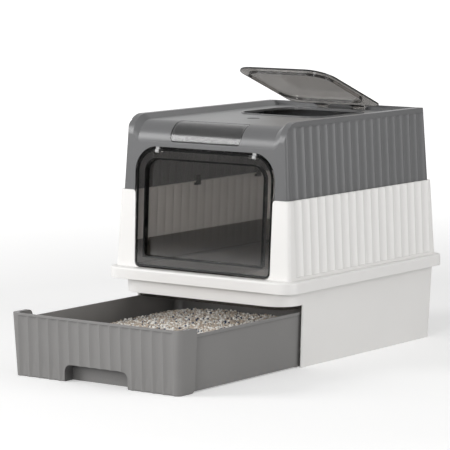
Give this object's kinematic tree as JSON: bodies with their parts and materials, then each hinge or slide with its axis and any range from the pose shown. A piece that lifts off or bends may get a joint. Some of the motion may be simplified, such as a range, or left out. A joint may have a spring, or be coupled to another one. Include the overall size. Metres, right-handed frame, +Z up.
{
  "type": "drawer litter box",
  "caption": "Enclosed litter box with a fluted pull-out drawer, a smoked swinging entry flap and a smoked top lid over a hatch.",
  "frame": {"origin": "middle of the base housing's footprint, on the floor", "axes": "+X to the right as seen from the front, -Y out of the front where the drawer comes out, +Z up"},
  "size_m": [0.41, 0.8023, 0.513],
  "materials": {
    "white_shell": "fine satin",
    "grey_shell": "fine satin",
    "drawer_grey": "fine satin",
    "smoked_plastic": "clear smoked gloss",
    "dark_plastic": "satin",
    "light_plastic": "satin",
    "steel": "drawn bar",
    "litter": "loose granules"
  },
  "bodies": {
    "housing": {"base_housing": "white_shell", "splash_guard": "smoked_plastic", "mid_frame": "white_shell", "hood": "grey_shell", "hood_clips": "dark_plastic", "front_window": "smoked_plastic", "deck_plug": "dark_plastic", "flap_hinge_lugs": "light_plastic", "lid_hinge_bracket": "dark_plastic", "lid_hinge_rod": "steel"},
    "drawer": {"drawer_tray": "drawer_grey", "litter_fill": "litter"},
    "flap": {"entry_flap": "smoked_plastic", "flap_hinge_pins": "light_plastic"},
    "lid": {"top_lid": "smoked_plastic"}
  },
  "joints": [
    {"name": "drawer_slide", "type": "slide", "parent": "housing", "child": "drawer", "axis": [0, -1, 0], "range_m": [-0.306, 0.1]},
    {"name": "flap_swing", "type": "hinge", "parent": "housing", "child": "flap", "pos_m": [0, -0.2252, 0.3713], "axis": [1, 0, 0], "range_deg": [-60, 75]},
    {"name": "lid_hinge", "type": "hinge", "parent": "housing", "child": "lid", "pos_m": [0, 0.2095, 0.4296], "axis": [-1, 0, 0], "range_deg": [-21.1, 84]}
  ]
}
